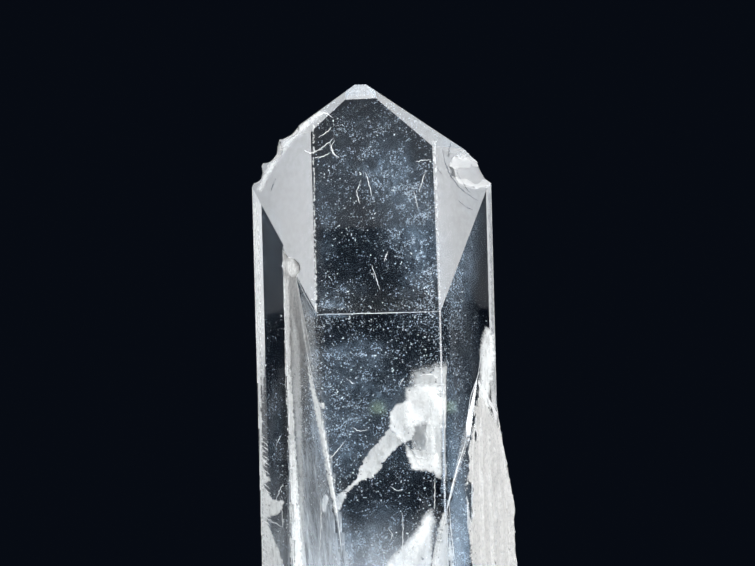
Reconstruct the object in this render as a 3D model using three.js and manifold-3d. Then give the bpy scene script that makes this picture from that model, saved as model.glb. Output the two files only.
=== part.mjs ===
// Quartz crystal: one clear point, cut off flat at its foot, standing on that cut.
// Millimetres, +Z up, the broad front face towards -Y, origin under the middle of its outline.
import * as THREE from 'three';
import { ConvexGeometry } from 'three/addons/geometries/ConvexGeometry.js';
import { mergeVertices } from 'three/addons/utils/BufferGeometryUtils.js';
import Module from 'manifold-3d';

const wasm = await Module();
wasm.setup();

// Driving sizes
const AXIS_HEIGHT = 45;
const AXIS_SHIFT = -0.1;
const AXIS_LEAN = 1.5;
const PRISM_SLOPE = 90;
const RHOMB_SLOPE = 51.8;
const STOCK = 200;

// The faces of the growth: compass angle from -Y towards +X, tilt of the face's normal
// from the long axis, and distance out from the axis point at AXIS_HEIGHT.
const FACES = {
  front: { azimuth: 2, slope: PRISM_SLOPE, out: 10.4 },
  rightFront: { azimuth: 62, slope: PRISM_SLOPE, out: 10.45 },
  rightBack: { azimuth: 121.5, slope: PRISM_SLOPE, out: 10.75 },
  back: { azimuth: 180.5, slope: PRISM_SLOPE, out: 10.3 },
  leftBack: { azimuth: -119, slope: PRISM_SLOPE, out: 10.72 },
  leftFront: { azimuth: -55.5, slope: PRISM_SLOPE, out: 10.9 },
  tipFront: { azimuth: 2, slope: RHOMB_SLOPE, out: 7.8 },
  tipRight: { azimuth: 121, slope: RHOMB_SLOPE, out: 17.6 },
  tipLeft: { azimuth: -119, slope: RHOMB_SLOPE, out: 18.9 },
  tipBack: { azimuth: 182, slope: RHOMB_SLOPE, out: 21.2 },
};

// The hollow on the left front: a face that leans in below the crease point as far as
// its deepest level, and the riser that closes it on the left.
const HOLLOW = {
  creasePoint: [-5.95, -10.7, 35.65],
  leanIn: 7.5,
  depth: 2.6,
  riserTop: [-9.6, -5.5, 48.6],
  riserFoot: [-9.2, -6.3, 18.6],
  riserAzimuth: 34,
};

// The small face that cuts off the right front edge towards the foot
const FOOT_FACE = { point: [6.95, -10.2, 24.6], azimuth: 35, leanIn: 8.6, depth: 1.4 };

// Low growth steps along the left front, each a thin layer missing to the left of a line
const STEPS = [
  { top: [-9.65, -5.4, 48.4], foot: [-9.3, -6.2, 19], azimuth: -140, depth: 0.3 },
  { top: [-8.1, -7.6, 47.6], foot: [-5.95, -10.7, 35.65], azimuth: -140, depth: 0.15 },
];

// The later growth on the lower right: corner points, from its tip down to the foot
const SIDE_GROWTH_RINGS = [
  { z: 37.4, inner: [10.0, -3.5], ridge: [10.2, -3.4], side: [11.9, 0.8], back: [11.0, 1.8] },
  { z: 31.7, inner: [8.85, -6.1], ridge: [9.4, -6.1], side: [12.8, 1.4], back: [11.0, 4.2] },
  { z: 24.6, inner: [6.95, -10.2], ridge: [9.0, -7.8], side: [14.2, 1.6], back: [11.6, 5.4] },
  { z: 18.3, inner: [7.5, -9.8], ridge: [9.25, -8.1], side: [14.5, 1.7], back: [11.9, 5.8] },
  { z: 0, inner: [7.9, -9.6], ridge: [9.7, -8.2], side: [14.8, 1.8], back: [12.2, 6.2] },
];

const GROWTH_HEART = [6, 0];

// Splinters that fan down the side growth, each widening from a sunken tip
const SPLINTERS = { count: 7, width: 1.3, tipWidth: 0.4, root: 0.4, lowest: 0.18, rise: 0.12 };
const FRONT_SHARE = 0.7;

// Chips knocked off the shoulders: centre, radius and how far each ball is squashed
const CHIPS = [
  { name: 'right shoulder', at: [10.3, -1.6, 61.6], radius: 4.8, squash: [1, 1, 1] },
  { name: 'right notch', at: [10.0, 4.6, 61.6], radius: 1.5, squash: [1, 1, 1] },
  { name: 'right window edge', at: [6.4, -2.1, 59.2], radius: 1.1, squash: [1, 1, 1.4] },
  { name: 'left shoulder', at: [-11.7, 2.3, 61.6], radius: 1.9, squash: [1, 1.3, 1] },
  { name: 'left brow', at: [-10.3, 4.0, 64.0], radius: 1.9, squash: [1.2, 1, 0.9] },
  { name: 'left ledge', at: [-12.9, 1.0, 58.6], radius: 1.1, squash: [1, 1.4, 1.3] },
  { name: 'left diagonal', at: [-9.4, -7.5, 49.3], radius: 1.6, squash: [1.1, 1, 1.1] },
  { name: 'right corner', at: [13.1, 0.2, 57.6], radius: 1.3, squash: [1, 1, 1.3] },
];
const CHIP_DETAIL = 3;

const rad = THREE.MathUtils.degToRad;
const leanTurn = new THREE.Matrix4().makeRotationY(rad(-AXIS_LEAN));
const axisPoint = new THREE.Vector3(AXIS_SHIFT, 0, AXIS_HEIGHT);

// A closed geometry as a solid that can be joined and cut
function solid(geometry) {
  const bare = geometry.clone();
  bare.deleteAttribute('normal');
  bare.deleteAttribute('uv');
  const merged = mergeVertices(bare, 1e-4);
  return new wasm.Manifold(new wasm.Mesh({
    numProp: 3,
    vertProperties: new Float32Array(merged.attributes.position.array),
    triVerts: new Uint32Array(merged.index.array),
  }));
}

// A solid back as a geometry with flat faces
function geometryOf(manifold) {
  const mesh = manifold.getMesh();
  const geometry = new THREE.BufferGeometry();
  geometry.setAttribute('position', new THREE.BufferAttribute(new Float32Array(mesh.vertProperties), 3));
  geometry.setIndex(new THREE.BufferAttribute(new Uint32Array(mesh.triVerts), 1));
  return geometry;
}

// Unit vector for a compass angle and a tilt from the upright
function direction(azimuth, slope) {
  const across = Math.sin(rad(slope));
  return new THREE.Vector3(
    across * Math.sin(rad(azimuth)),
    -across * Math.cos(rad(azimuth)),
    Math.cos(rad(slope)),
  );
}

// Everything on the outer side of a plane, as one big block
function outside(point, normal) {
  const block = new THREE.BoxGeometry(STOCK, STOCK, STOCK);
  block.translate(0, 0, STOCK / 2);
  const turn = new THREE.Quaternion().setFromUnitVectors(new THREE.Vector3(0, 0, 1), normal);
  block.applyQuaternion(turn);
  block.translate(point.x, point.y, point.z);
  return solid(block);
}

// The single point that the growth faces bound
function crystalPoint() {
  const stock = new THREE.BoxGeometry(STOCK / 4, STOCK / 4, STOCK / 2);
  stock.translate(0, 0, STOCK / 4);
  let body = solid(stock);
  for (const face of Object.values(FACES)) {
    body = body.subtract(outsideLevel(face, 0));
  }
  return body;
}

// Outward normal of a riser that runs along a line and faces a compass angle
function riserNormal(top, foot, azimuth) {
  const along = new THREE.Vector3(...top).sub(new THREE.Vector3(...foot)).normalize();
  const facing = direction(azimuth, PRISM_SLOPE);
  return facing.addScaledVector(along, -facing.dot(along)).normalize();
}

// Outward normal of a growth face, and the part of space outside a level below that face
function faceNormal(face) {
  return direction(face.azimuth, face.slope).transformDirection(leanTurn);
}

function outsideLevel(face, depth) {
  const normal = faceNormal(face);
  return outside(axisPoint.clone().addScaledVector(normal, face.out - depth), normal);
}

// The wedge that is missing in the hollow, between its leaning face and its riser
function hollowWedge() {
  const foot = new THREE.Vector3(...HOLLOW.riserFoot);
  const riser = outside(foot, riserNormal(HOLLOW.riserTop, HOLLOW.riserFoot, HOLLOW.riserAzimuth));
  const leaning = direction(FACES.leftFront.azimuth, PRISM_SLOPE + HOLLOW.leanIn);
  return outside(new THREE.Vector3(...HOLLOW.creasePoint), leaning)
    .intersect(outsideLevel(FACES.leftFront, HOLLOW.depth))
    .intersect(riser);
}

// The thin layer that is missing to the left of a low step
function stepLayer({ top, foot, azimuth, depth }) {
  const riser = outside(new THREE.Vector3(...foot), riserNormal(top, foot, azimuth));
  return outsideLevel(FACES.leftFront, depth).intersect(riser);
}

// The edge that is missing above the foot face, no deeper than its level
function footWedge() {
  const leaning = direction(FOOT_FACE.azimuth, PRISM_SLOPE + FOOT_FACE.leanIn);
  const upright = direction(FOOT_FACE.azimuth, PRISM_SLOPE);
  const point = new THREE.Vector3(...FOOT_FACE.point);
  const deepest = point.clone().addScaledVector(upright, -FOOT_FACE.depth);
  return outside(point, leaning).intersect(outside(deepest, upright));
}

// The later growth, with splinters fanning down over its side
function sideGrowth() {
  const places = ring => [ring.inner, ring.ridge, ring.side, ring.back, GROWTH_HEART];
  const corners = SIDE_GROWTH_RINGS
    .flatMap(ring => places(ring).map(([x, y]) => new THREE.Vector3(x, y, ring.z)));
  let growth = solid(new ConvexGeometry(corners));
  for (let index = 0; index < SPLINTERS.count; index += 1) {
    growth = growth.add(splinter(index));
  }
  return growth;
}

// The point at a share of the way from the ridge round to the back of the side growth
function growthPoint(ring, share) {
  const ridge = new THREE.Vector3(...ring.ridge, ring.z);
  const side = new THREE.Vector3(...ring.side, ring.z);
  const back = new THREE.Vector3(...ring.back, ring.z);
  if (share < FRONT_SHARE) {
    return ridge.lerp(side, share / FRONT_SHARE);
  }
  return side.lerp(back, (share - FRONT_SHARE) / (1 - FRONT_SHARE));
}

// One long splinter; its pride changes from one to the next in turns of three
function splinter(index) {
  const share = (index + 0.5) / SPLINTERS.count;
  const proud = SPLINTERS.lowest + SPLINTERS.rise * ((index * 5) % 3);
  const points = SIDE_GROWTH_RINGS.flatMap((ring, row) => {
    const middle = growthPoint(ring, share);
    const outward = new THREE.Vector3(middle.x - GROWTH_HEART[0], middle.y, 0).normalize();
    const sideways = new THREE.Vector3(-outward.y, outward.x, 0);
    const half = (row === 0 ? SPLINTERS.tipWidth : SPLINTERS.width) / 2;
    const root = middle.clone().addScaledVector(outward, -SPLINTERS.root);
    return [
      middle.clone().addScaledVector(outward, row === 0 ? -proud : proud),
      root.clone().addScaledVector(sideways, half),
      root.clone().addScaledVector(sideways, -half),
    ];
  });
  return solid(new ConvexGeometry(points));
}

// One chip, as the squashed ball that is missing
function chip({ at, radius, squash }) {
  const ball = new THREE.IcosahedronGeometry(radius, CHIP_DETAIL);
  ball.scale(...squash);
  ball.translate(...at);
  return solid(ball);
}

let body = crystalPoint();
for (const missing of [hollowWedge(), footWedge(), ...STEPS.map(stepLayer)]) {
  body = body.subtract(missing);
}
body = body.add(sideGrowth());
for (const each of CHIPS) {
  body = body.subtract(chip(each));
}

const clearQuartz = new THREE.MeshStandardMaterial({ color: 0xdfe6ea, roughness: 0.04, metalness: 0 });
const crystal = new THREE.Mesh(geometryOf(body), clearQuartz);
crystal.name = 'quartz_crystal';

// The middle of the crystal's outline stands over the origin
const middle = new THREE.Box3().setFromObject(crystal).getCenter(new THREE.Vector3());
crystal.position.set(-middle.x, -middle.y, 0);

const part = new THREE.Group();
part.add(crystal);
export default part;
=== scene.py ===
import math

import bmesh
import bpy
import numpy as np
from mathutils import Matrix, Vector, noise
from mathutils.bvhtree import BVHTree


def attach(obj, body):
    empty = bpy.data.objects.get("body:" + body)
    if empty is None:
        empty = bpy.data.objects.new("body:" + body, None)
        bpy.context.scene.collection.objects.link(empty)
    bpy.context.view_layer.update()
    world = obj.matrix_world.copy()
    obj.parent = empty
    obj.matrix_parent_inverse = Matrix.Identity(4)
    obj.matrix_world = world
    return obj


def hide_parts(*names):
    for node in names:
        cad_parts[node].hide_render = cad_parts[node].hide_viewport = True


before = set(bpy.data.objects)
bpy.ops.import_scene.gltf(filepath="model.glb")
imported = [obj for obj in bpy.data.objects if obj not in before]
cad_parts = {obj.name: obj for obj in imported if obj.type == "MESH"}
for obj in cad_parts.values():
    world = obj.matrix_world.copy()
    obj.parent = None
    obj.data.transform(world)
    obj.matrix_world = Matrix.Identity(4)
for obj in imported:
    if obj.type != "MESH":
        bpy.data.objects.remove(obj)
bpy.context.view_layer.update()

bl_info = {
    "name": "Quartz crystal looks",
    "version": (1, 0, 0),
    "blender": (4, 5, 0),
    "location": "View3D > Sidebar > Quartz",
    "description": "Builds a clear quartz point with its flaws, its side growth and its stage",
    "category": "Add Mesh",
}

# Units and names
MM = 0.001
NODE = "quartz_crystal"
BODY = "root"
QUARTZ_IOR = 1.544

# The photographed view: the middle of the picture, the size of a pixel at the crystal's
# axis, and the camera level with the picture's middle. The axis offset is how far the
# middle of the crystal's outline, which is the frame's origin, lies from the picture's middle.
PICTURE_SIZE = (755, 566)
PICTURE_MIDDLE = (377.5, 283.0)
PIXEL = 0.1034 * MM
EYE_HEIGHT = 47.35 * MM
EYE_DISTANCE = 320 * MM
AXIS_OFFSET = Vector((-0.925 * MM, 0.129 * MM, 0.0))
SENSOR = 36.0

# How finely the crystal's mesh is joined, flattened, cut and creased
WELD = 0.002 * MM
FLAT_ANGLE = math.radians(0.8)
WORN_ANGLE = math.radians(24)
CREASE_ANGLE = math.radians(20)
SAME_FACE_ANGLE = math.radians(2)
SPLIT_ROUNDS = 8

# How sheets are laid out: pixels between points, and the least density that is built
VEIL_STEP = 3.0
HAZE_STEP = 4.0
FRACTURE_STEP = 1.2
GLINT_STEP = 2.0
PAINTED_SHADE_STEP = 1.0
THINNEST = 0.002
LONGEST_SIDE = 0.45
SHALLOWEST = 0.05 * MM
RIBBON_DEPTH = 0.12 * MM
RIBBON_PARTS = 24

# The low soft boxes stand round the crystal at one distance and level
BOX_DISTANCE = 300 * MM
BOX_LEVEL = -10 * MM
BOX_HEIGHT = 300 * MM
LIT_POINT = (0, 0, 30 * MM)

# The floor lies a hair below the foot
FLOOR_THICKNESS = 2 * MM
FLOOR_GAP = 0.05 * MM
FLOOR_SIDES = 160

# The window between the pale flanks of the tip, in the picture: its sides and its foot
WINDOW_SIDES = (314, 438)
WINDOW_FOOT = 315

# The six prism faces and the four tip faces, as in the solid: compass angle from -Y towards
# +X, tilt from the upright, and distance out from a point on the long axis in millimetres.
AXIS_POINT = Vector((-0.1 * MM, 0.0, 45 * MM)) + AXIS_OFFSET
AXIS_LEAN = 1.5
FACES = {
    "front": (2, 90, 10.4),
    "right_front": (62, 90, 10.45),
    "right_back": (121.5, 90, 10.75),
    "back": (180.5, 90, 10.3),
    "left_back": (-119, 90, 10.72),
    "left_front": (-55.5, 90, 10.9),
    "tip_front": (2, 51.8, 7.8),
    "tip_right": (121, 51.8, 17.6),
    "tip_left": (-119, 51.8, 18.9),
    "tip_back": (182, 51.8, 21.2),
}


# The white fractures and flakes, and white bands that paint highlights along edges, as the
# photograph shows them: the outline in its pixels, the depth in millimetres behind the surface, how
# softly the rim fades in pixels, and how dense it is.
FRACTURES_AND_EDGE_HIGHLIGHTS = {
    "bright_block": (
        [(405, 388), (424, 383), (445, 384), (446, 426), (434, 428), (424, 425), (413, 427),
         (404, 430)], 1.3, 6.0, 0.68),
    "block_lobe": (
        [(389, 411), (397, 404), (410, 399), (418, 420), (413, 440), (404, 444), (396, 437),
         (389, 429)], 1.6, 3.0, 0.68),
    "block_wall": (
        [(428, 396), (444, 400), (443, 440), (442, 480), (434, 478), (431, 440)], 1.2, 4.0, 0.62),
    "block_foot": (
        [(403, 440), (410, 448), (416, 456), (426, 459), (432, 450), (440, 452), (441, 476),
         (426, 472), (412, 470), (407, 458)], 1.4, 4.0, 0.78),
    "block_veil": (
        [(408, 418), (428, 418), (428, 452), (412, 452)], 1.5, 3.0, 0.3),
    "block_pane": (
        [(425, 418), (436, 418), (437, 468), (417, 466), (411, 449), (425, 449)], 1.5, 3.0, 0.66),
    "upper_haze": (
        [(412, 370), (446, 362), (446, 404), (408, 402)], 1.7, 12.0, 0.5),
    "diagonal_flake": (
        [(405, 441), (396, 434), (389, 427), (383, 435), (376, 443), (369, 451), (363, 459),
         (359, 468), (357, 477), (350, 484), (341, 492), (344, 496), (353, 488), (362, 481),
         (372, 479), (380, 471), (386, 461), (393, 452), (400, 446)], 3.0, 1.8, 0.62),
    "flake_end": (
        [(342, 490), (336, 496), (333, 503), (336, 512), (341, 510), (344, 503), (347, 495)],
        4.6, 2.0, 0.6),
    "lower_band": (
        [(432, 508), (424, 514), (417, 528), (405, 542), (392, 554), (384, 566), (376, 600),
         (400, 620), (412, 590), (420, 556), (430, 536), (436, 522)], 4.0, 7.0, 0.85),
    "lower_haze": (
        [(433, 514), (418, 535), (402, 560), (396, 600), (432, 640), (434, 566)], 3.4, 6.0, 0.55),
    "corner_flake": (
        [(442, 513), (446, 512), (451, 538), (456, 570), (460, 620), (434, 620), (433, 560),
         (437, 530)], 1.2, 2.0, 0.6),
    "diagonal_chip": (
        [(280, 262), (286, 259), (293, 261), (298, 269), (298, 277), (290, 276), (284, 271)],
        0.2, 1.5, 1.0),
    "edge_chip": ([(318, 401), (324, 402), (326, 408), (320, 410)], 0.2, 1.5, 0.9),
    "right_shoulder_strip": (
        [(480, 345), (485, 325), (494, 330), (496, 352), (493, 377), (490, 400), (495, 420),
         (486, 416), (478, 400)], 0.3, 5.0, 0.75),
    # Painted reflection: the white band down the left ridge, where its facet reflects the light
    # from the left
    "ridge_band": (
        [(283, 276), (289, 276), (292, 380), (298, 470), (303, 566), (306, 720), (290, 720),
         (289, 480), (285, 380)], 0.3, 1.6, 0.8),
    "ridge_shade": (
        [(291, 300), (300, 340), (303, 420), (305, 500), (309, 720), (300, 720), (297, 470),
         (291, 380)], 0.35, 4.0, 0.35),
    # Painted highlight along the edge of the hollow, with the whitening of its chips
    "hollow_rim": (
        [(306, 352), (313, 380), (321, 408), (330, 458), (338, 512), (336, 520), (329, 490),
         (322, 450), (314, 410), (309, 385)], 0.25, 1.8, 0.8),
    "left_spikes": (
        [(257, 440), (264, 450), (262, 456), (269, 461), (263, 467), (271, 481), (264, 485),
         (273, 498), (285, 501), (281, 514), (267, 518), (271, 530), (279, 548), (286, 570),
         (288, 660), (258, 660), (257, 540)], 0.25, 2.2, 0.75),
    "left_strip": (
        [(253, 200), (259, 215), (261, 320), (263, 460), (265, 620), (256, 660), (254, 400)],
        0.2, 1.5, 0.7),
    # Painted highlights: the bright lines down both sides of the window, where the edges catch the
    # light, with the whitening of their chips
    "window_left_rim": (
        [(312, 124), (314.5, 124), (315, 180), (316.5, 250), (318, 314), (315, 314), (313, 200)],
        0.2, 1.6, 0.5),
    "window_right_rim": (
        [(436, 140), (433, 141), (435, 178), (437, 229), (439, 300), (441, 300), (438, 200)],
        0.2, 1.6, 0.4),
    "hollow_pane": (
        [(299, 286), (316, 314), (320, 400), (327, 450), (318, 405), (306, 345)], 0.5, 3.0, 0.16),
    # Painted highlight along the upper left edge of the tip, with the whitening of its chips
    "left_rim": (
        [(318, 107), (306, 119), (294, 129), (284, 141), (273, 156), (265, 171), (257, 190),
         (261, 194), (269, 177), (279, 161), (289, 147), (300, 134), (314, 123), (326, 112)],
        0.25, 5.0, 0.42),
}
# Soft clouds of bubbles: the middle, the half width and half height in pixels, the turn in
# degrees and the strength.
CLOUDS = {
    "veil_right": [(464, 350, 18, 42, 0, 0.35), (456, 430, 14, 50, 0, 1.0)],
    "veil_facet": [(458, 500, 12, 44, -8, 0.8), (462, 556, 12, 30, 0, 0.9)],
    "veil_left": [(270, 262, 8, 48, 0, 0.5), (273, 440, 9, 70, 0, 0.5)],
    "veil_tip": [(362, 122, 36, 20, 0, 0.55)],
    "veil_window": [
        (404, 200, 26, 60, -12, 1.2), (425, 262, 14, 46, 0, 0.9), (325, 222, 10, 46, 0, 0.5),
        (362, 160, 34, 22, 0, 0.6), (340, 292, 26, 12, 0, 0.6), (330, 305, 16, 4, 0, 1.4)],
    "veil_back": [(410, 230, 28, 66, -12, 0.9), (345, 215, 30, 70, 0, 0.25)],
    "veil_front": [
        (365, 352, 14, 10, 0, 1.0), (334, 355, 14, 9, 0, 1.0), (380, 420, 80, 70, 0, 0.55),
        (345, 420, 30, 60, 0, 0.5), (380, 545, 60, 30, 0, 0.9)],
}
# The hollow on the left front, where the milk shows, and the strip inside the right edge that a
# thin dark film darkens as painted shade
HOLLOW = [
    (282, 262), (297, 280), (316, 314), (319, 395), (321, 412), (328, 460), (337, 515),
    (343, 566), (372, 760), (282, 760)]
PAINTED_SHADE_STRIP = [(487.5, 192), (491.5, 192), (493, 240), (495, 335), (491, 335), (489, 240)]

# Scratches, cracks, painted highlights along edges and painted shade, as the pixels that each runs
# through
SCRATCHES_HIGHLIGHTS_AND_SHADE = {
    "bright": [
        [(316, 117), (325, 113), (333, 118)], [(318, 138), (328, 131), (331, 127)],
        [(312, 152), (322, 148), (334, 138)], [(314, 158), (324, 156), (331, 152)],
        [(304, 150), (311, 153), (317, 151)], [(365, 172), (369, 184), (372, 196)],
        [(426, 170), (422, 182), (419, 192)], [(414, 191), (416, 200), (418, 209)],
        [(416, 162), (424, 160), (431, 160)], [(372, 265), (376, 278), (380, 290)],
        [(402, 512), (403, 532), (402, 552)], [(435, 478), (435, 497), (434, 512)],
        [(330, 142), (333, 152), (339, 158)], [(335, 140), (331, 148), (335, 156)],
        [(384, 262), (386, 256), (388, 252)], [(361, 180), (357, 192), (360, 204)],
        [(390, 486), (396, 490), (402, 491)], [(388, 528), (392, 534), (391, 540)],
        [(352, 427), (360, 431), (368, 430)], [(346, 440), (337, 451), (330, 459)],
        [(399, 386), (402, 381), (404, 378)], [(346, 378), (351, 382), (355, 384)],
        [(284, 282), (285, 330), (286, 400)], [(291, 400), (294, 460), (298, 566)],
        [(276, 500), (280, 490), (283, 484)],
        [(266, 518), (275, 523), (282, 527)], [(280, 498), (282, 512), (283, 528)],
        [(276, 446), (279, 439), (281, 436)], [(420, 376), (430, 374), (438, 378)],
        [(320, 498), (321, 520), (320, 550)]],
    # Painted highlight: white ribbons along edges where they catch the light, together with the
    # whitening of their chips
    "edge": [
        [(316, 314.6), (350, 313.8), (400, 312.6), (441, 311.4)],
        [(297, 280), (306, 345), (318, 405)], [(318, 405), (328, 460), (337, 515), (350, 620)],
        [(296, 276), (306, 297), (316, 314)], [(482, 345), (478, 375), (470, 400), (466, 440)],
        [(466, 440), (458, 466), (449, 500)], [(449, 502), (452, 540), (456, 566)]],
    # Painted shade: dark ribbons for the shaded ripple lines of the right shoulder chip and for
    # cracks that show as dark lines seen edge-on
    "painted_shade": [
        [(276, 178), (273, 185), (271, 191)], [(441, 513), (437, 523), (434, 545), (431, 570)],
        [(451, 143), (449, 151), (448, 158)], [(437, 168), (440, 172), (442, 174)],
        [(442, 146), (447, 168), (459, 187), (478, 201)], [(432, 478), (433, 500), (438, 512)],
        [(455, 166), (461, 180), (470, 193)], [(458, 200), (466, 207), (474, 210)]],
}


def face_normal(name):
    """Outward direction of a growth face."""
    azimuth, slope, _ = FACES[name]
    a, s = math.radians(azimuth), math.radians(slope)
    upright = Vector((math.sin(s) * math.sin(a), -math.sin(s) * math.cos(a), math.cos(s)))
    return Matrix.Rotation(math.radians(-AXIS_LEAN), 3, "Y") @ upright


def face_distance(name, points):
    """How far points stand out from a growth face, negative inside."""
    normal = np.array(face_normal(name))
    return (points - np.array(AXIS_POINT)) @ normal - FACES[name][2] * MM


# Lines of sight
SKIN = 0.01 * MM
EYE = Vector((AXIS_OFFSET.x, -EYE_DISTANCE + AXIS_OFFSET.y, EYE_HEIGHT))


def sight_line(px, py):
    """Direction from the camera through a pixel of the photograph."""
    across = (px - PICTURE_MIDDLE[0]) * PIXEL
    down = (py - PICTURE_MIDDLE[1]) * PIXEL
    return Vector((across, EYE_DISTANCE, -down)).normalized()


def bent(direction, normal, ratio):
    """A ray bent at a surface, or None where it is thrown back."""
    facing = -direction.dot(normal)
    left = 1 - ratio * ratio * (1 - facing * facing)
    if left < 0:
        return None
    return (direction * ratio + normal * (ratio * facing - math.sqrt(left))).normalized()


class Sight:
    """Places things inside the crystal where the camera sees them through its faces."""

    def __init__(self):
        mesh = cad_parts[NODE].data
        corners = [v.co.copy() for v in mesh.vertices]
        self.tree = BVHTree.FromPolygons(corners, [tuple(p.vertices) for p in mesh.polygons])

    def enter(self, px, py):
        """Where the line of sight enters, its direction inside and its way to the far side."""
        line = sight_line(px, py)
        at, normal, _, _ = self.tree.ray_cast(EYE, line)
        if at is None:
            return None
        inside = bent(line, normal, 1 / QUARTZ_IOR)
        start = at + inside * SKIN
        _, _, _, way = self.tree.ray_cast(start, inside)
        return at, inside, way or 0.0

    def at(self, px, py, depth, keep=0.9):
        """A point seen at a pixel, at a depth inside, never past a share of the way through."""
        found = self.enter(px, py)
        if found is None:
            return None
        at, inside, way = found
        return at + inside * min(depth, way * keep)


# Shader sums
class Signal:
    """A shader socket that takes part in Python sums."""

    def __init__(self, finish, socket):
        self.finish = finish
        self.socket = socket

    def _sum(self, operation, first, second):
        return self.finish.node("ShaderNodeMath", {"operation": operation}, {0: first, 1: second})

    def __add__(self, other):
        return self._sum("ADD", self, other)

    def __radd__(self, other):
        return self._sum("ADD", other, self)

    def __mul__(self, other):
        return self._sum("MULTIPLY", self, other)

    def __rmul__(self, other):
        return self._sum("MULTIPLY", other, self)

    def at_most(self, other):
        return self._sum("MINIMUM", self, other)


class Finish:
    """One material's node tree, and the single way to add a node to it."""

    def __init__(self, name):
        self.material = bpy.data.materials.new(name)
        self.material.use_nodes = True
        self.tree = self.material.node_tree
        self.tree.nodes.clear()

    def node(self, kind, settings=None, inputs=None, output=0):
        """Adds a node: its settings first, ramp stops too, then its sockets' values or links."""
        node = self.tree.nodes.new(kind)
        for key, value in (settings or {}).items():
            if key == "stops":
                self.set_stops(node.color_ramp, value)
            else:
                setattr(node, key, value)
        for key, value in (inputs or {}).items():
            if isinstance(value, Signal):
                self.tree.links.new(value.socket, node.inputs[key])
            else:
                node.inputs[key].default_value = value
        return Signal(self, node.outputs[output]) if node.outputs else None

    @staticmethod
    def set_stops(ramp, stops):
        """Gives a ramp its stops, as places and grey values."""
        while len(ramp.elements) > 1:
            ramp.elements.remove(ramp.elements[-1])
        for index, (place, grey) in enumerate(stops):
            element = ramp.elements[0] if index == 0 else ramp.elements.new(place)
            element.position = place
            element.color = (grey, grey, grey, 1)

    def place(self, scale=(1, 1, 1), turn=(0, 0, 0)):
        """The object's own coordinates, in millimetres, scaled and turned."""
        where = self.node("ShaderNodeTexCoord", output=3)
        size = tuple(s / MM for s in scale)
        settings = {"vector_type": "POINT"}
        return self.node("ShaderNodeMapping", settings, {0: where, 2: turn, 3: size})

    def noise(self, scale, stretch=(1, 1, 1), turn=(0, 0, 0), detail=3.0, rough=0.5, distort=0.0):
        """Noise with a scale per millimetre."""
        values = {"Vector": self.place(stretch, turn), "Scale": scale, "Detail": detail}
        values.update({"Roughness": rough, "Distortion": distort})
        return self.node("ShaderNodeTexNoise", None, values)

    def ramp(self, value, stops):
        """A grey ramp through stops."""
        return self.node("ShaderNodeValToRGB", {"stops": stops}, {0: value})

    def tint(self, share, first, second):
        """A colour between two colours."""
        settings = {"data_type": "RGBA"}
        return self.node("ShaderNodeMix", settings, {0: share, 6: first, 7: second}, 2)

    def attribute(self, name):
        """A value painted on the mesh's points."""
        return self.node("ShaderNodeAttribute", {"attribute_name": name}, output=2)

    def bump(self, height, strength, distance):
        """A normal bent by a height."""
        values = {"Strength": strength, "Distance": distance, "Height": height}
        return self.node("ShaderNodeBump", None, values)

    def surface(self, settings, inputs):
        """A Principled surface."""
        return self.node("ShaderNodeBsdfPrincipled", settings, inputs)

    def close(self, surface, volume=None):
        """Sends the surface and the volume to the output."""
        values = {"Surface": surface}
        if volume is not None:
            values["Volume"] = volume
        self.node("ShaderNodeOutputMaterial", None, values)
        return self.material


def quartz_finish(settings):
    """Clear quartz with fine growth lines, frosted behind, and white where it is splintered."""
    f = Finish("clear_quartz")
    rough_area = f.attribute("splintered")
    worn = f.attribute("worn")
    lines = f.noise(0.6, (0.15, 0.15, 9.0), detail=4.0, rough=0.6)
    etch = f.noise(2.2, (1, 1, 0.6), detail=5.0, rough=0.65)
    relief = lines * 0.5 + etch * 0.25
    facets = f.bump(relief, 0.12, 0.04 * MM)
    splinters = f.noise(1.3, (2.4, 2.0, 0.3), (0, 0.12, 0), detail=6.0, rough=0.75, distort=0.8)
    crushed = f.noise(3.0, detail=5.0, rough=0.7)
    torn = f.bump(splinters * 0.7 + crushed * 0.5, 0.9, 0.5 * MM)
    smear = f.ramp(f.noise(0.35, (1, 1, 0.5), detail=4.0), [(0.35, 0.012), (0.7, 0.05)])
    height = f.node("ShaderNodeSeparateXYZ", None, {0: f.place()}, 2)
    uneven = f.noise(0.22, (1, 1, 0.45), detail=6.0, rough=0.65)
    upper = f.ramp(height * 0.01 + uneven * 0.16, [(0.42, 0.0), (0.50, 1.0)])
    frost = f.attribute("frosted") * upper
    mottle = f.ramp(f.noise(1.3, detail=5.0, rough=0.6), [(0.35, 0.38), (0.62, 0.62)])
    smear = smear + frost * mottle
    clear = f.surface({"distribution": "MULTI_GGX"}, {
        "Base Color": (0.985, 0.992, 1.0, 1), "Roughness": smear, "IOR": settings.ior,
        "Transmission Weight": 1.0, "Normal": facets,
    })
    tone = f.ramp(crushed * 0.75 + splinters * 0.3, [(0.36, 0.2), (0.54, 1.0)])
    white = f.surface(None, {
        "Base Color": f.tint(tone, (0.88, 0.90, 0.92, 1), (1.0, 1.0, 0.99, 1)),
        "Roughness": 0.38, "IOR": settings.ior, "Transmission Weight": 0.12, "Normal": torn,
    })
    patchy = f.ramp(crushed * 0.7 + splinters * 0.4, [(0.35, 0.65), (0.58, 1.0)])
    torn_off = f.ramp(rough_area * 0.5 + crushed * 0.9, [(0.66, 0.0), (0.74, 1.0)])
    share = (torn_off * patchy + worn * 0.45 + f.attribute("broken") * patchy * 0.75).at_most(1.0)
    mixed = f.node("ShaderNodeMixShader", None, {0: share, 1: clear, 2: white})
    depth = {"Color": tuple(settings.depth_tint) + (1,), "Density": settings.depth_density}
    return f.close(mixed, f.node("ShaderNodeVolumeAbsorption", None, depth))


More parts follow.
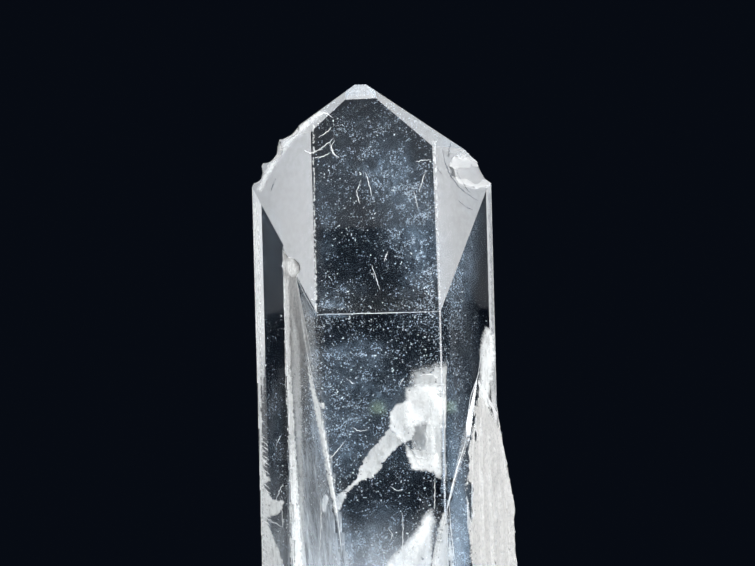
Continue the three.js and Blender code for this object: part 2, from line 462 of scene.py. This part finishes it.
def veil_and_painted_light_finish(name, colour, density, scale, stretch, turn=(0, 0, 0), spots=0.6, base=0.06):
    """A thin cloud of tiny bubbles, thick in patches and broken into grains; the same sheet also
    serves for the painted green glints and the dark film of painted shade.
    """
    f = Finish(name)
    cloud = f.ramp(f.noise(scale, stretch, turn, 5.0, 0.6), [(0.42, 0.0), (0.68, 1.0)])
    streaks = f.ramp(f.noise(scale * 3.2, stretch, turn, 4.0, 0.7), [(0.40, 0.1), (0.66, 1.0)])
    grain = f.ramp(f.noise(5.5, detail=2.0), [(0.46, 0.1), (0.62, 1.0)])
    patches = cloud * streaks * (grain * spots + (1 - spots))
    alpha = ((patches * (1 - base) + base) * f.attribute("fade") * density).at_most(1.0)
    skin = f.surface(None, {
        "Base Color": colour + (1,), "Roughness": 0.7, "Alpha": alpha, "Specular IOR Level": 0.2,
    })
    return f.close(skin)


def flake_and_highlight_finish():
    """The white wall of a fracture inside, glaring where it faces the light; the same white sheet
    paints highlights along some edges.
    """
    f = Finish("white_fracture_and_highlight")
    crumple = f.noise(1.4, detail=6.0, rough=0.7)
    grain = f.ramp(f.noise(1.6, (1, 1, 0.5), detail=6.0, rough=0.65), [(0.30, 0.6), (0.52, 1.0)])
    holes = f.ramp(f.noise(2.1, detail=3.0), [(0.29, 0.0), (0.35, 1.0)])
    colour = f.tint(crumple, (0.84, 0.89, 0.92, 1), (1.0, 1.0, 0.98, 1))
    skin = f.surface(None, {
        "Base Color": colour, "Roughness": 0.35,
        "Alpha": (grain * holes * f.attribute("fade") * 1.15).at_most(1.0),
        "Normal": f.bump(crumple, 0.6, 0.3 * MM),
    })
    return f.close(skin)


def scratch_highlight_and_shade_finish(name, colour):
    """The walls of a fine scratch or crack, and the colour of the painted highlights and painted
    shade.
    """
    f = Finish(name)
    tone = f.ramp(f.noise(2.5, detail=3.0), [(0.3, 0.35), (0.6, 1.0)])
    return f.close(f.surface(None, {"Base Color": colour + (1,), "Roughness": 0.4, "Alpha": tone}))


def speck_finish(name, light):
    """Tiny bubbles and flakes that catch the light."""
    f = Finish(name)
    tone = f.ramp(f.noise(1.1, detail=2.0), [(0.3, 0.55), (0.7, 1.0)])
    colour = f.tint(tone, tuple(0.6 * c for c in light) + (1,), light + (1,))
    return f.close(f.surface(None, {"Base Color": colour, "Roughness": 0.3}))


def floor_finish():
    """Plain pale paper."""
    f = Finish("pale_paper")
    tone = f.ramp(f.noise(0.8, detail=4.0), [(0.3, 0.70), (0.7, 0.78)])
    fibre = f.bump(f.noise(6.0, detail=4.0), 0.2, 0.05 * MM)
    colour = f.tint(tone, (0.38, 0.38, 0.375, 1), (0.44, 0.44, 0.435, 1))
    return f.close(f.surface(None, {"Base Color": colour, "Roughness": 0.85, "Normal": fibre}))


# Meshes
def smoothstep(value, low, high):
    """0 below low, 1 above high, and a smooth rise between."""
    share = np.clip((value - low) / (high - low), 0, 1)
    return share * share * (3 - 2 * share)


def noise_at(points, scale, seed=0.0):
    """Noise between -1 and 1 at each point."""
    shift = Vector((seed, seed * 1.7, seed * 2.3))
    return np.array([noise.noise(Vector(p) * scale + shift) for p in points])


def make_object(name, points, faces, material, values=None, smooth=False):
    """An object from points and faces, with named values painted on its points."""
    if not faces:
        raise RuntimeError(f"{name} has no faces")
    mesh = bpy.data.meshes.new(name)
    mesh.from_pydata([tuple(p) for p in points], [], faces)
    for key, numbers in (values or {}).items():
        layer = mesh.attributes.new(key, "FLOAT", "POINT")
        layer.data.foreach_set("value", np.asarray(numbers, dtype=np.float32))
    if smooth:
        mesh.shade_smooth()
    mesh.validate()
    mesh.materials.append(material)
    made = bpy.data.objects.new(name, mesh)
    bpy.context.scene.collection.objects.link(made)
    return made


def finished(piece):
    """Says which body a piece belongs to."""
    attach(piece, BODY)


def split_long_edges(mesh, longest, zone):
    """Halves the long edges of a zone, round after round, and fills with triangles."""
    for _ in range(SPLIT_ROUNDS):
        edges = [e for e in mesh.edges if e.calc_length() > longest]
        middles = np.array([(e.verts[0].co + e.verts[1].co) / 2 for e in edges]).reshape(-1, 3)
        inside = zone(middles) if len(edges) else []
        chosen = [e for e, keep in zip(edges, inside) if keep]
        if not chosen:
            return
        bmesh.ops.subdivide_edges(mesh, edges=chosen, cuts=1)
        bmesh.ops.triangulate(mesh, faces=mesh.faces[:])


def splintered(points):
    """1 on the side growth's rough skin, 0 on clear faces."""
    out = np.maximum(face_distance("right_front", points), face_distance("right_back", points))
    low = 1 - smoothstep(points[:, 2], 38 * MM, 40 * MM)
    jag = noise_at(points * np.array((1, 1, 0.6)), 1.1 / MM, 5.0) * 0.9 * MM
    border = 8.45 * MM + np.maximum(points[:, 2] - 28 * MM, 0) * 0.1 + jag
    outer = smoothstep(points[:, 0] - border, -0.5 * MM, 0.7 * MM)
    return smoothstep(out, 0.05 * MM, 0.3 * MM) * low * outer


def chipped(points):
    """1 in the shell-shaped chips, well below the growth faces, 0 elsewhere."""
    level = np.max([face_distance(name, points) for name in FACES], axis=0)
    high = smoothstep(points[:, 2], 47 * MM, 48 * MM)
    return smoothstep(-level, 0.02 * MM, 0.06 * MM) * high


def carved_zone(points):
    """Which points lie where the surface is carved."""
    out = np.maximum(face_distance("right_front", points), face_distance("right_back", points))
    growth = (out > 0.04 * MM) & (points[:, 2] < 40 * MM) & (points[:, 0] > 6.5 * MM)
    return growth | (chipped(points) > 0)


def patch(px, py, outline, rim, seed):
    """1 inside an outline drawn in the picture, fading to 0 over its torn rim."""
    corners = np.array(outline, dtype=float)
    ends = np.roll(corners, -1, axis=0)
    nearest = np.full(px.shape, 1e9)
    inside = np.zeros(px.shape, dtype=bool)
    for (ax, ay), (bx, by) in zip(corners, ends):
        length = (bx - ax) ** 2 + (by - ay) ** 2
        along = np.clip(((px - ax) * (bx - ax) + (py - ay) * (by - ay)) / length, 0, 1)
        gap = np.hypot(px - ax - along * (bx - ax), py - ay - along * (by - ay))
        nearest = np.minimum(nearest, gap)
        if ay != by:
            crossing = (ay > py) != (by > py)
            inside ^= crossing & (px < (bx - ax) * (py - ay) / (by - ay) + ax)
    level = np.where(inside, nearest, -nearest)
    spots = np.stack([px, py, px * 0], axis=-1).reshape(-1, 3)
    torn = (noise_at(spots, 0.3, seed) + noise_at(spots, 0.75, seed + 9)).reshape(px.shape)
    return smoothstep(level + torn * 1.4, -0.3 * rim, 0.9 * rim)


def clouds(px, py, blobs):
    """The sum of soft blobs drawn in the picture."""
    total = np.zeros(px.shape)
    for x, y, wide, tall, turn, strength in blobs:
        a = math.radians(turn)
        across = (px - x) * math.cos(a) + (py - y) * math.sin(a)
        down = (py - y) * math.cos(a) - (px - x) * math.sin(a)
        total += strength * np.exp(-((across / wide) ** 2 + (down / tall) ** 2))
    return np.minimum(total, 1.0)


def curve_point(corners, share):
    """A point on the smooth curve through a path's corners."""
    spans = len(corners) - 1
    index = min(int(share * spans), spans - 1)
    t = share * spans - index
    before = corners[max(index - 1, 0)]
    first, second = corners[index], corners[index + 1]
    after = corners[min(index + 2, spans)]
    return 0.5 * (
        2 * first + (second - before) * t
        + (2 * before - 5 * first + 4 * second - after) * t ** 2
        + (3 * first - before - 3 * second + after) * t ** 3)


def sheet(sight, name, region, step, density, depth, material):
    """A curved sheet over a region of the view, dense and deep as two functions say."""
    left, top, right, bottom = region
    columns = np.arange(left, right + step, step)
    rows = np.arange(top, bottom + step, step)
    px, py = np.meshgrid(columns, rows)
    fade = density(px, py)
    rim = np.minimum.reduce([px - left, right - px, py - top, bottom - py])
    fade = fade * smoothstep(rim, 0, 2 * step)
    deep = depth((px - left) / (right - left), (py - top) / (bottom - top)) * MM
    index, points, values = {}, [], []
    for cell in zip(*np.nonzero(fade > THINNEST)):
        at = sight.at(float(px[cell]), float(py[cell]), max(float(deep[cell]), SHALLOWEST))
        if at is not None:
            index[cell] = len(points)
            points.append(at)
            values.append(fade[cell])
    faces = []
    for row, column in index:
        ring = [(row, column), (row, column + 1), (row + 1, column + 1), (row + 1, column)]
        if all(corner in index for corner in ring):
            corners = [index[corner] for corner in ring]
            reach = max((points[corners[0]] - points[c]).length for c in corners)
            if reach < LONGEST_SIDE * step * MM:
                faces.append(corners)
    return make_object(name, points, faces, material, {"fade": values}, smooth=True)


def sharp_edges(mesh, angle):
    """Edges where the faces turn by more than an angle."""
    return [e for e in mesh.edges if len(e.link_faces) == 2 and e.calc_face_angle(0) > angle]


def crystal_form(settings):
    """The solid's shape with narrow worn edges, cut finely enough to be carved."""
    mesh = bmesh.new()
    mesh.from_mesh(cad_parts[NODE].data)
    bmesh.ops.remove_doubles(mesh, verts=mesh.verts[:], dist=WELD)
    bmesh.ops.dissolve_limit(
        mesh, angle_limit=FLAT_ANGLE, verts=mesh.verts[:], edges=mesh.edges[:])
    worn = mesh.faces.layers.float.new("worn")
    frosted = mesh.faces.layers.float.new("frosted")
    edges = sharp_edges(mesh, WORN_ANGLE)
    strips = bmesh.ops.bevel(
        mesh, geom=edges, offset=settings.edge_wear, segments=1, profile=0.5,
        affect="EDGES", clamp_overlap=True,
    )["faces"]
    mesh.normal_update()
    for face in strips:
        face[worn] = 1.0
    for face in mesh.faces:
        level = max(face.normal.dot(face_normal(name)) for name in ("right_back", "left_back"))
        face[frosted] = float(level > math.cos(SAME_FACE_ANGLE))
    bmesh.ops.triangulate(mesh, faces=mesh.faces[:])
    split_long_edges(mesh, settings.mesh_step, carved_zone)
    mesh.normal_update()
    return mesh


def vertex_values(data, key):
    """Each point's place or normal, as rows of three numbers."""
    values = np.empty(len(data.vertices) * 3)
    data.vertices.foreach_get(key, values)
    return values.reshape(-1, 3)


def on_flank(px, py):
    """Whether a pixel lies on the pale flanks of the tip, where no specks show."""
    return py < WINDOW_FOOT and not WINDOW_SIDES[0] < px < WINDOW_SIDES[1]


class CrystalSettings(bpy.types.PropertyGroup):
    """Sizes and colours of the crystal."""

    ior: bpy.props.FloatProperty(
        name="IOR", description="Refractive index of quartz", default=QUARTZ_IOR, min=1.0, max=3.0)
    edge_wear: bpy.props.FloatProperty(
        name="Edge wear", description="Width of the worn strip along each edge",
        default=0.1 * MM, unit="LENGTH")
    mesh_step: bpy.props.FloatProperty(
        name="Mesh step", description="Longest edge of the carved surface",
        default=0.4 * MM, unit="LENGTH")
    depth_tint: bpy.props.FloatVectorProperty(
        name="Depth tint", description="Colour that light takes on in the depth of the crystal",
        default=(0.82, 0.90, 1.0), size=3, subtype="COLOR", min=0.0, max=1.0)
    depth_density: bpy.props.FloatProperty(
        name="Depth density", description="How fast the depth tint grows, per metre", default=4.0)
    speck_count: bpy.props.IntProperty(
        name="Specks", description="Number of bright specks inside", default=10000, min=0)
    dust_count: bpy.props.IntProperty(
        name="Dust", description="Number of bubbles in the clouds", default=34000, min=0)
    seed: bpy.props.IntProperty(name="Seed", description="Seed of all scattered places", default=7)


class StageSettings(bpy.types.PropertyGroup):
    """Floor and lights."""

    floor_radius: bpy.props.FloatProperty(
        name="Floor radius", description="Radius of the pale floor", default=95 * MM, unit="LENGTH")
    side_radiance: bpy.props.FloatProperty(
        name="Side light", description="Brightness of the soft boxes behind on both sides",
        default=0.95)
    front_radiance: bpy.props.FloatProperty(
        name="Front light", description="Brightness of the low soft boxes in front", default=1.15)
    high_radiance: bpy.props.FloatProperty(
        name="High light", description="Brightness of the two soft boxes high in front",
        default=4.8)
    top_radiance: bpy.props.FloatProperty(
        name="Top light", description="Brightness of the soft box above", default=3.0)
    surround: bpy.props.FloatVectorProperty(
        name="Surround", description="Colour of the dark room",
        default=(0.0022, 0.0034, 0.0065), size=3, subtype="COLOR", min=0.0, max=1.0)


class QUARTZ_OT_stage(bpy.types.Operator):
    """Sets up the floor, the soft lights and the camera"""

    bl_idname = "quartz.stage"
    bl_label = "Stage"

    def execute(self, context):
        settings = context.scene.quartz_stage
        self.add_floor(settings)
        self.add_lights(settings)
        self.add_camera(context.scene)
        self.set_room(context.scene, settings)
        return {"FINISHED"}

    @staticmethod
    def add_floor(settings):
        """A thin pale disc that the crystal stands on."""
        mesh = bmesh.new()
        bmesh.ops.create_cone(
            mesh, cap_ends=True, segments=FLOOR_SIDES, radius1=settings.floor_radius,
            radius2=settings.floor_radius, depth=FLOOR_THICKNESS)
        drop = FLOOR_THICKNESS / 2 + FLOOR_GAP
        bmesh.ops.translate(mesh, verts=mesh.verts[:], vec=(0, 0, -drop))
        data = bpy.data.meshes.new("floor")
        mesh.to_mesh(data)
        mesh.free()
        data.materials.append(floor_finish())
        floor = bpy.data.objects.new("floor", data)
        bpy.context.scene.collection.objects.link(floor)

    @staticmethod
    def add_soft_box(name, place, target, size, radiance):
        """A rectangular soft box that shines at a target and isn't seen itself."""
        light = bpy.data.lights.new(name, "AREA")
        light.shape = "RECTANGLE"
        light.size, light.size_y = size
        light.energy = radiance * math.pi * size[0] * size[1]
        box = bpy.data.objects.new(name, light)
        box.location = place
        box.rotation_euler = (Vector(target) - Vector(place)).to_track_quat("-Z", "Y").to_euler()
        box.visible_camera = False
        bpy.context.scene.collection.objects.link(box)

    def add_lights(self, settings):
        """Soft boxes low behind and low in front on both sides, above, and high in front."""
        for name, azimuth, width, radiance in (
            ("left_back_box", -56, 110, settings.side_radiance * 1.15),
            ("right_back_box", 78, 160, settings.side_radiance * 0.3),
            ("left_front_box", -120, 160, settings.front_radiance * 1.1),
            ("right_front_box", 120, 160, settings.front_radiance * 0.7),
        ):
            angle = math.radians(azimuth)
            place = Vector((math.sin(angle), math.cos(angle), 0)) * BOX_DISTANCE
            place.z = BOX_LEVEL
            self.add_soft_box(name, place, (0, 0, place.z), (width * MM, BOX_HEIGHT), radiance)
        for name, place, size, radiance in (
            ("top_box", (0.0, 0.16, 0.30), (0.40, 0.16), settings.top_radiance),
            ("high_right_box", (0.26, -0.12, 0.26), (0.30, 0.20), settings.high_radiance),
            ("high_front_box", (0.0, -0.28, 0.28), (0.50, 0.14), settings.high_radiance),
        ):
            self.add_soft_box(name, place, LIT_POINT, size, radiance)

    @staticmethod
    def add_camera(scene):
        """The camera at the photograph's viewing angle."""
        data = bpy.data.cameras.new("camera")
        data.sensor_width = SENSOR
        data.lens = SENSOR * EYE_DISTANCE / (PICTURE_SIZE[0] * PIXEL)
        data.clip_start = 0.01
        camera = bpy.data.objects.new("camera", data)
        camera.location = EYE
        camera.rotation_euler = (math.pi / 2, 0, 0)
        scene.collection.objects.link(camera)
        scene.camera = camera

    @staticmethod
    def set_room(scene, settings):
        """A dark plain room, and enough bounces for light inside the crystal."""
        world = bpy.data.worlds.new("dark_room")
        world.use_nodes = True
        ground = world.node_tree.nodes["Background"]
        ground.inputs["Color"].default_value = tuple(settings.surround) + (1,)
        scene.world = world
        scene.view_settings.view_transform = "Standard"
        cycles = scene.cycles
        cycles.use_denoising = True
        cycles.max_bounces = 24
        cycles.transmission_bounces = 24
        cycles.glossy_bounces = 12
        cycles.diffuse_bounces = 4
        cycles.transparent_max_bounces = 40
        cycles.sample_clamp_indirect = 6.0


class QUARTZ_OT_crystal(bpy.types.Operator):
    """Builds the crystal's carved surface over its solid"""

    bl_idname = "quartz.crystal"
    bl_label = "Crystal"

    def execute(self, context):
        settings = context.scene.quartz_crystal
        mesh = crystal_form(settings)
        data = bpy.data.meshes.new("crystal_surface")
        mesh.to_mesh(data)
        mesh.free()
        points = vertex_values(data, "co")
        normals = vertex_values(data, "normal")
        growth = splintered(points)
        points = points + normals * self.carving(points, growth)[:, None]
        points[:, 2] = np.maximum(points[:, 2], 0)
        data.vertices.foreach_set("co", points.ravel())
        broken = chipped(points) * np.where(points[:, 0] > 0, 0.3, 1.0)
        for name, values in (("splintered", growth), ("broken", broken)):
            layer = data.attributes.new(name, "FLOAT", "POINT")
            layer.data.foreach_set("value", values.astype(np.float32))
        data.shade_smooth()
        data.set_sharp_from_angle(angle=CREASE_ANGLE)
        middles = np.array([p.center for p in data.polygons])
        data.polygons.foreach_set("use_smooth", carved_zone(middles))
        data.update()
        data.materials.append(quartz_finish(settings))
        piece = bpy.data.objects.new("crystal_surface", data)
        context.scene.collection.objects.link(piece)
        piece.visible_shadow = False
        finished(piece)
        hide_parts(NODE)
        return {"FINISHED"}

    @staticmethod
    def carving(points, growth):
        """How far each point is pushed out: torn fibres on the growth, ripples in the chip."""
        fibres = noise_at(points * np.array((1, 1, 0.08)), 1.7 / MM)
        lumps = noise_at(points * np.array((1, 1, 0.3)), 0.7 / MM, 3.1)
        reach = np.linalg.norm(points - np.array((4.0, -7.0, 67.0)) * MM, axis=1) / MM
        shells = np.sin(reach * 7.0 + noise_at(points, 0.5 / MM, 1.3)) * 0.05
        jagged = noise_at(points, 1.6 / MM, 8.0) * 0.12
        right = points[:, 0] > 0
        filled = -0.5 * np.max([face_distance(name, points) for name in FACES], axis=0) / MM
        ripples = chipped(points) * np.where(right, shells * 0.7, jagged + filled)
        crumbs = noise_at(points * np.array((1, 1, 0.5)), 2.4 / MM, 6.0)
        return (growth * (fibres * 0.12 + lumps * 0.22 + crumbs * 0.12 - 0.1) + ripples) * MM


class QUARTZ_OT_veils(bpy.types.Operator):
    """Hangs the thin bubble veils, the milk, the painted green glints, the dark film of painted
    shade by the right edge and the milky foot inside the crystal
    """

    bl_idname = "quartz.veils"
    bl_label = "Veils"

    def execute(self, context):
        sight = Sight()
        cool = (0.50, 0.70, 0.92)
        pale = (0.80, 0.87, 0.94)
        for name, region, depth, lean, material in (
            ("veil_right", (443, 205, 484, 480), 2.0, 1.0,
             veil_and_painted_light_finish("veil_right", cool, 0.32, 0.5, (1, 1, 0.7), base=0.2)),
            ("veil_left", (257, 205, 287, 600), 1.5, 1.0,
             veil_and_painted_light_finish("veil_left", cool, 0.5, 0.6, (1, 1, 0.4), base=0.1)),
            ("veil_facet", (444, 430, 474, 640), 0.4, 0.2,
             veil_and_painted_light_finish("veil_facet", cool, 0.5, 0.9, (2.2, 2.2, 0.2), (0, 0.3, 0), 0.2, 0.45)),
            ("veil_tip", (306, 90, 446, 164), 2.5, 2.0,
             veil_and_painted_light_finish("veil_tip", cool, 0.28, 0.5, (1, 1, 3.5))),
            ("veil_window", (296, 100, 456, 312), 6.0, 5.0,
             veil_and_painted_light_finish("veil_window", cool, 0.4, 0.5, (1.4, 1, 0.8), (0, 0.5, 0))),
            ("veil_back", (296, 110, 456, 312), 11.0, -5.0,
             veil_and_painted_light_finish("veil_back", cool, 0.36, 0.3, (1, 1, 0.6), (0, 0.4, 0))),
            ("veil_front", (302, 316, 440, 600), 5.0, 4.0,
             veil_and_painted_light_finish("veil_front", cool, 0.52, 0.4, (1, 1, 1.2), (0, -0.5, 0), base=0.12)),
        ):
            finished(sheet(
                sight, name, region, VEIL_STEP,
                lambda px, py, blobs=CLOUDS[name]: clouds(px, py, blobs),
                lambda u, v, d=depth, l=lean: d + l * (u - 0.5) + 1.2 * np.sin(5 * u + 3 * v),
                material))
        milk = veil_and_painted_light_finish("milk_streaks", pale, 1.0, 0.6, (2.5, 2.5, 0.08), base=0.25, spots=0.2)
        for name, region, density, depth in (
            ("milk_left", (284, 270, 350, 752), self.hollow_milk, 0.9),
            ("milk_band", (258, 380, 290, 752), self.band_milk, 1.2),
        ):
            finished(sheet(
                sight, name, region, VEIL_STEP, density, lambda u, v, d=depth: d + u, milk))
        # Painted glint: two faint green sheets stand in for the green interference glint of thin
        # cracks.
        glint = veil_and_painted_light_finish(
            "painted_green_glint", (0.66, 0.92, 0.68), 0.9, 1.8, (1, 1, 1), spots=0.9, base=0.25)
        for name, left, top, right, bottom in (
            ("glint_left", 366, 396, 390, 420), ("glint_right", 442, 398, 460, 416),
        ):
            spot = [((left + right) / 2, (top + bottom) / 2, 7, 6, 0, 0.6)]
            finished(sheet(
                sight, name, (left, top, right, bottom), GLINT_STEP,
                lambda px, py, blobs=spot: clouds(px, py, blobs), lambda u, v: 1.0 + 0 * u, glint))
        # Painted shade: a thin dark grey film just under the surface darkens the bright strip
        # inside the right edge.
        finished(sheet(
            sight, "painted_shade_edge", (484, 190, 498, 340), PAINTED_SHADE_STEP,
            lambda px, py: patch(px, py, PAINTED_SHADE_STRIP, 1.4, 4), lambda u, v: 0.15 + 0 * u,
            veil_and_painted_light_finish("painted_shade_edge", (0.12, 0.13, 0.15), 0.75, 1.5, (1, 1, 0.4), base=0.55)))
        haze = veil_and_painted_light_finish("milky_foot", pale, 0.75, 0.3, (1, 1, 1), base=0.5, spots=0.3)
        for name, depth, lean in (("foot_haze_front", 4.0, 5.0), ("foot_haze_back", 11.0, -12.0)):
            finished(sheet(
                sight, name, (296, 480, 466, 756), HAZE_STEP,
                lambda px, py: smoothstep(py, 508, 650),
                lambda u, v, d=depth, l=lean: d + l * (u - 0.5) + np.sin(6 * u + 4 * v), haze))
        return {"FINISHED"}

    @staticmethod
    def hollow_milk(px, py):
        """Milk in the hollow, thicker towards the foot."""
        return (smoothstep(py, 330, 530) * 0.85 + 0.12) * patch(px, py, HOLLOW, 2.0, 3)

    @staticmethod
    def band_milk(px, py):
        """Milk down the left band, from halfway to the foot."""
        return smoothstep(py, 430, 630) * 0.85


class QUARTZ_OT_fractures(bpy.types.Operator):
    """Sets the white fractures and flakes inside the crystal, and the white bands of painted
    highlight along some edges
    """

    bl_idname = "quartz.fractures"
    bl_label = "Fractures"

    def execute(self, context):
        sight = Sight()
        material = flake_and_highlight_finish()
        for order, (name, (outline, depth, rim, density)) in enumerate(FRACTURES_AND_EDGE_HIGHLIGHTS.items()):
            columns, rows = zip(*outline)
            region = (min(columns) - 3, min(rows) - 3, max(columns) + 3, max(rows) + 3)
            swell = min(0.5, depth) * 0.6
            finished(sheet(
                sight, name, region, FRACTURE_STEP,
                lambda px, py, o=outline, r=rim, d=density, k=order: d * patch(px, py, o, r, k),
                lambda u, v, d=depth, s=swell: d + s * np.sin(7 * u + 2) * np.cos(5 * v),
                material))
        return {"FINISHED"}


class QUARTZ_OT_scratches(bpy.types.Operator):
    """Draws the fine scratches and cracks, the painted highlights along edges and the painted shade
    just under the surface
    """

    bl_idname = "quartz.scratches"
    bl_label = "Scratches"

    def execute(self, context):
        sight = Sight()
        for kind, colour, width, waver in (
            ("bright", (1.0, 1.0, 1.0), 0.34, 1.0), ("edge", (0.95, 0.98, 1.0), 0.36, 0.4),
            ("painted_shade", (0.05, 0.06, 0.08), 0.5, 0.8),
        ):
            points, faces = [], []
            paths = SCRATCHES_HIGHLIGHTS_AND_SHADE[kind] + (self.thorns() if kind == "bright" else [])
            for order, path in enumerate(paths):
                self.ribbon(sight, path, width, waver, order, points, faces)
            material = scratch_highlight_and_shade_finish(kind + "_ribbon_finish", colour)
            finished(make_object(kind + "_ribbons", points, faces, material))
        return {"FINISHED"}

    @staticmethod
    def thorns():
        """Short slanting strokes along the left strip, longer towards the foot."""
        paths = []
        for step in range(30):
            y = 436 + 4.6 * step
            reach = 2.5 + 0.22 * step + 3.0 * abs(math.sin(step * 2.1))
            tip = (263 + reach, y + reach)
            paths.append([(261, y), (262 + reach * 0.6, y + reach * 0.5), tip])
        return paths

    @staticmethod
    def ribbon(sight, path, width, waver, order, points, faces):
        """A narrow wavering strip along a path drawn in the picture, tapered at both ends."""
        corners = [Vector((x, y, 0)) for x, y in path]
        start = None
        for step in range(RIBBON_PARTS + 1):
            share = step / RIBBON_PARTS
            middle = curve_point(corners, share)
            after = curve_point(corners, min(share + 0.02, 1))
            ahead = after - curve_point(corners, max(share - 0.02, 0))
            side = Vector((-ahead.y, ahead.x, 0)).normalized()
            wobble = noise.noise(Vector((step * 0.45, order * 3.7, 0))) * waver
            half = width * (0.25 + math.sin(math.pi * share)) * (0.7 + 0.5 * abs(wobble))
            spots = [middle + side * (wobble + s * half) for s in (-1, 1)]
            pair = [sight.at(spot.x, spot.y, RIBBON_DEPTH) for spot in spots]
            if None in pair:
                start = None
                continue
            if start is not None:
                faces.append((start, start + 1, len(points) + 1, len(points)))
            start = len(points)
            points.extend(pair)


# The two forms of grain: corners, then sides
OCTAHEDRON = (
    ((1, 0, 0), (-1, 0, 0), (0, 1, 0), (0, -1, 0), (0, 0, 1), (0, 0, -1)),
    ((0, 2, 4), (2, 1, 4), (1, 3, 4), (3, 0, 4), (2, 0, 5), (1, 2, 5), (3, 1, 5), (0, 3, 5)),
)
TETRAHEDRON = (
    ((1, 1, 1), (1, -1, -1), (-1, 1, -1), (-1, -1, 1)),
    ((0, 1, 2), (0, 3, 1), (0, 2, 3), (1, 3, 2)),
)


class QUARTZ_OT_specks(bpy.types.Operator):
    """Scatters the bright specks and the bubble dust inside the crystal"""

    bl_idname = "quartz.specks"
    bl_label = "Specks"

    def execute(self, context):
        settings = context.scene.quartz_crystal
        sight = Sight()
        random = np.random.default_rng(settings.seed)
        self.add_specks(sight, random, settings.speck_count)
        self.add_dust(sight, random, settings.dust_count)
        return {"FINISHED"}

    def add_specks(self, sight, random, count):
        """Bright specks, thicker in some parts than in others, and a few of them large."""
        points, faces = [], []
        for _ in range(count):
            px, py = random.uniform(262, 488), random.uniform(100, 740)
            found = sight.enter(px, py)
            crowd = noise.noise(Vector((px, py, 0)) * 0.03) + 0.25
            if found is None or on_flank(px, py) or random.random() > crowd * 2:
                continue
            at, inside, way = found
            centre = at + inside * (way * random.uniform(0.02, 0.6))
            size = 0.024 * (1 + 2.4 * random.random() ** 5)
            self.grain(points, faces, OCTAHEDRON, centre, size, random)
        material = speck_finish("bright_specks", (0.95, 1.0, 1.0))
        finished(make_object("bright_specks", points, faces, material))

    def add_dust(self, sight, random, count):
        """Fine bubbles in clumps, strewn through the clouds."""
        points, faces = [], []
        blobs = [blob for group in CLOUDS.values() for blob in group]
        shares = np.array([wide * tall * strength for _, _, wide, tall, _, strength in blobs])
        for number in random.choice(len(blobs), count, p=shares / shares.sum()):
            x, y, wide, tall, turn, _ = blobs[number]
            across, down = random.normal(0, 0.75, 2) * (wide, tall)
            a = math.radians(turn)
            px = x + across * math.cos(a) - down * math.sin(a)
            py = y + across * math.sin(a) + down * math.cos(a)
            found = sight.enter(px, py)
            coarse, fine = Vector((px, py, 4)) * 0.09, Vector((px, py, 9)) * 0.3
            clump = noise.noise(coarse) + noise.noise(fine)
            if found is None or clump < random.random() * 0.7 - 0.1 or on_flank(px, py):
                continue
            at, inside, way = found
            centre = at + inside * (way * random.uniform(0.05, 0.5))
            size = random.uniform(0.012, 0.034)
            self.grain(points, faces, TETRAHEDRON, centre, size, random)
        material = speck_finish("bubble_dust", (0.68, 0.80, 0.94))
        finished(make_object("bubble_dust", points, faces, material))

    @staticmethod
    def grain(points, faces, form, centre, size, random):
        """One small stretched grain, turned at random."""
        corners, sides = form
        turn = Matrix.Rotation(random.uniform(0, 3), 3, Vector(random.normal(size=3)).normalized())
        stretch = 1 + 1.5 * random.random() ** 3
        start = len(points)
        for x, y, z in corners:
            points.append(centre + turn @ Vector((x * stretch, y, z)) * (size * MM))
        faces.extend(tuple(start + i for i in side) for side in sides)


class QUARTZ_PT_panel(bpy.types.Panel):
    """Lists the steps that build the crystal"""

    bl_label = "Quartz crystal"
    bl_idname = "QUARTZ_PT_panel"
    bl_space_type = "VIEW_3D"
    bl_region_type = "UI"
    bl_category = "Quartz"

    def draw(self, context):
        for step in STEPS:
            self.layout.operator(step.bl_idname)


STEPS = (
    QUARTZ_OT_stage, QUARTZ_OT_crystal, QUARTZ_OT_veils, QUARTZ_OT_fractures,
    QUARTZ_OT_scratches, QUARTZ_OT_specks,
)
CLASSES = (CrystalSettings, StageSettings, *STEPS, QUARTZ_PT_panel)


def register():
    for each in CLASSES:
        bpy.utils.register_class(each)
    bpy.types.Scene.quartz_crystal = bpy.props.PointerProperty(type=CrystalSettings)
    bpy.types.Scene.quartz_stage = bpy.props.PointerProperty(type=StageSettings)


def unregister():
    del bpy.types.Scene.quartz_stage
    del bpy.types.Scene.quartz_crystal
    for each in reversed(CLASSES):
        bpy.utils.unregister_class(each)


def main():
    register()
    bpy.ops.quartz.stage()
    bpy.ops.quartz.crystal()
    bpy.ops.quartz.veils()
    bpy.ops.quartz.fractures()
    bpy.ops.quartz.scratches()
    bpy.ops.quartz.specks()


if __name__ == "__main__":
    main()
